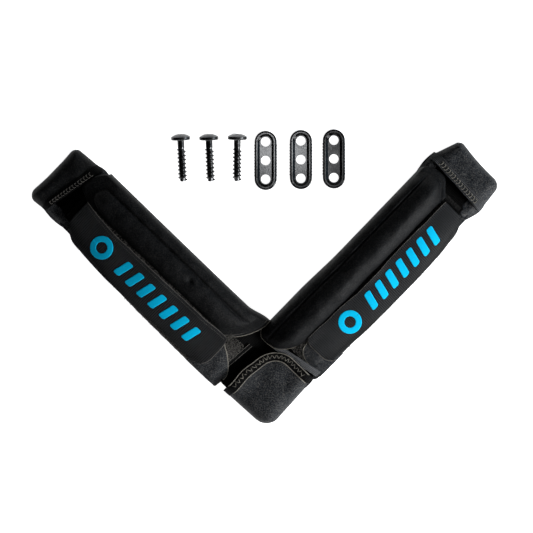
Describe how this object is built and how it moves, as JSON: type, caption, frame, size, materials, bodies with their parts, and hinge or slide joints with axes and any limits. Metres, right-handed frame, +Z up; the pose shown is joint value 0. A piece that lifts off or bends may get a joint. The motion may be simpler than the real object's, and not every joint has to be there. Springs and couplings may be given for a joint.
{
  "type": "kiteboard v foot strap",
  "caption": "V-shaped padded foot strap for a surf kiteboard, lying flat with its anchor screws and serrated washer plates; arms lift, flaps open and ends adjust.",
  "frame": {"origin": "centre of the middle anchor hole, at the deck plane", "axes": "+X to the right arm's side, +Y along the V's middle line into its opening, +Z up off the deck"},
  "size_m": [0.3226, 0.2049, 0.0282],
  "materials": {
    "neoprene": "matte knit face",
    "foam": "matte foam",
    "webbing": "woven",
    "binding": "woven tape",
    "loop_tape": "brushed loop pile",
    "hook_tape": "hook tape",
    "flap_fabric": "ribbed, printed",
    "sole_rubber": "matte",
    "screw_steel": "polished",
    "plate_steel": "polished, dark"
  },
  "bodies": {
    "centre_anchor": {"centre_cap": "neoprene", "centre_binding": "binding", "centre_sole": "sole_rubber", "left_anchor_webbing": "webbing", "right_anchor_webbing": "webbing"},
    "left_arm": {"left_foot_liner": "neoprene", "left_foot_pad": "foam", "left_arm_webbing": "webbing", "left_arm_loop_tape": "loop_tape", "left_closure_panel": "loop_tape", "left_roll_cover": "neoprene", "left_roll_foam": "foam", "left_flap_hem": "flap_fabric"},
    "left_flap": {"left_cover_flap": "flap_fabric", "left_hook_patch": "hook_tape"},
    "left_end_strap": {"left_end_webbing": "webbing", "left_end_hook": "hook_tape"},
    "left_tab": {"left_tab_cap": "neoprene", "left_tab_binding": "binding", "left_tab_sole": "sole_rubber", "left_tab_webbing": "webbing"},
    "right_arm": {"right_foot_liner": "neoprene", "right_foot_pad": "foam", "right_arm_webbing": "webbing", "right_arm_loop_tape": "loop_tape", "right_closure_panel": "loop_tape", "right_roll_cover": "neoprene", "right_roll_foam": "foam", "right_flap_hem": "flap_fabric"},
    "right_flap": {"right_cover_flap": "flap_fabric", "right_hook_patch": "hook_tape"},
    "right_end_strap": {"right_end_webbing": "webbing", "right_end_hook": "hook_tape"},
    "right_tab": {"right_tab_cap": "neoprene", "right_tab_binding": "binding", "right_tab_sole": "sole_rubber", "right_tab_webbing": "webbing"},
    "screw_1": {"screw_1": "screw_steel"},
    "screw_2": {"screw_2": "screw_steel"},
    "screw_3": {"screw_3": "screw_steel"},
    "washer_plate_1": {"washer_plate_1": "plate_steel"},
    "washer_plate_2": {"washer_plate_2": "plate_steel"},
    "washer_plate_3": {"washer_plate_3": "plate_steel"}
  },
  "joints": [
    {"name": "left_arm_lift", "type": "hinge", "parent": "centre_anchor", "child": "left_arm", "pos_m": [-0.01485, 0.01909, 0.009], "axis": [0.7071, 0.7071, 0], "range_deg": [0, 40]},
    {"name": "left_flap_open", "type": "hinge", "parent": "left_arm", "child": "left_flap", "pos_m": [-0.07891, 0.0816, 0.0244], "axis": [-0.7071, 0.7071, 0], "range_deg": [0, 120]},
    {"name": "left_length_adjust", "type": "hinge", "parent": "left_arm", "child": "left_end_strap", "pos_m": [-0.07195, 0.08149, -0.32591], "axis": [-0.7071, -0.7071, 0], "range_deg": [0, 4]},
    {"name": "left_tab_bend", "type": "hinge", "parent": "left_end_strap", "child": "left_tab", "pos_m": [-0.1317, 0.14125, 0.0052], "axis": [0.7071, 0.7071, 0], "range_deg": [-30, 45]},
    {"name": "right_arm_lift", "type": "hinge", "parent": "centre_anchor", "child": "right_arm", "pos_m": [0.01485, 0.01909, 0.009], "axis": [0.7071, -0.7071, 0], "range_deg": [0, 40]},
    {"name": "right_flap_open", "type": "hinge", "parent": "right_arm", "child": "right_flap", "pos_m": [0.07891, 0.0816, 0.0244], "axis": [-0.7071, -0.7071, 0], "range_deg": [0, 120]},
    {"name": "right_length_adjust", "type": "hinge", "parent": "right_arm", "child": "right_end_strap", "pos_m": [0.07195, 0.08149, -0.32591], "axis": [-0.7071, 0.7071, 0], "range_deg": [0, 4]},
    {"name": "right_tab_bend", "type": "hinge", "parent": "right_end_strap", "child": "right_tab", "pos_m": [0.1317, 0.14125, 0.0052], "axis": [0.7071, -0.7071, 0], "range_deg": [-30, 45]},
    {"name": "screw_1_lift_off", "type": "slide", "parent": "centre_anchor", "child": "screw_1", "axis": [0, 0, 1], "range_m": [0, 0.08]},
    {"name": "screw_2_lift_off", "type": "slide", "parent": "centre_anchor", "child": "screw_2", "axis": [0, 0, 1], "range_m": [0, 0.08]},
    {"name": "screw_3_lift_off", "type": "slide", "parent": "centre_anchor", "child": "screw_3", "axis": [0, 0, 1], "range_m": [0, 0.08]},
    {"name": "washer_plate_1_lift_off", "type": "slide", "parent": "centre_anchor", "child": "washer_plate_1", "axis": [0, 0, 1], "range_m": [0, 0.08]},
    {"name": "washer_plate_2_lift_off", "type": "slide", "parent": "centre_anchor", "child": "washer_plate_2", "axis": [0, 0, 1], "range_m": [0, 0.08]},
    {"name": "washer_plate_3_lift_off", "type": "slide", "parent": "centre_anchor", "child": "washer_plate_3", "axis": [0, 0, 1], "range_m": [0, 0.08]}
  ]
}
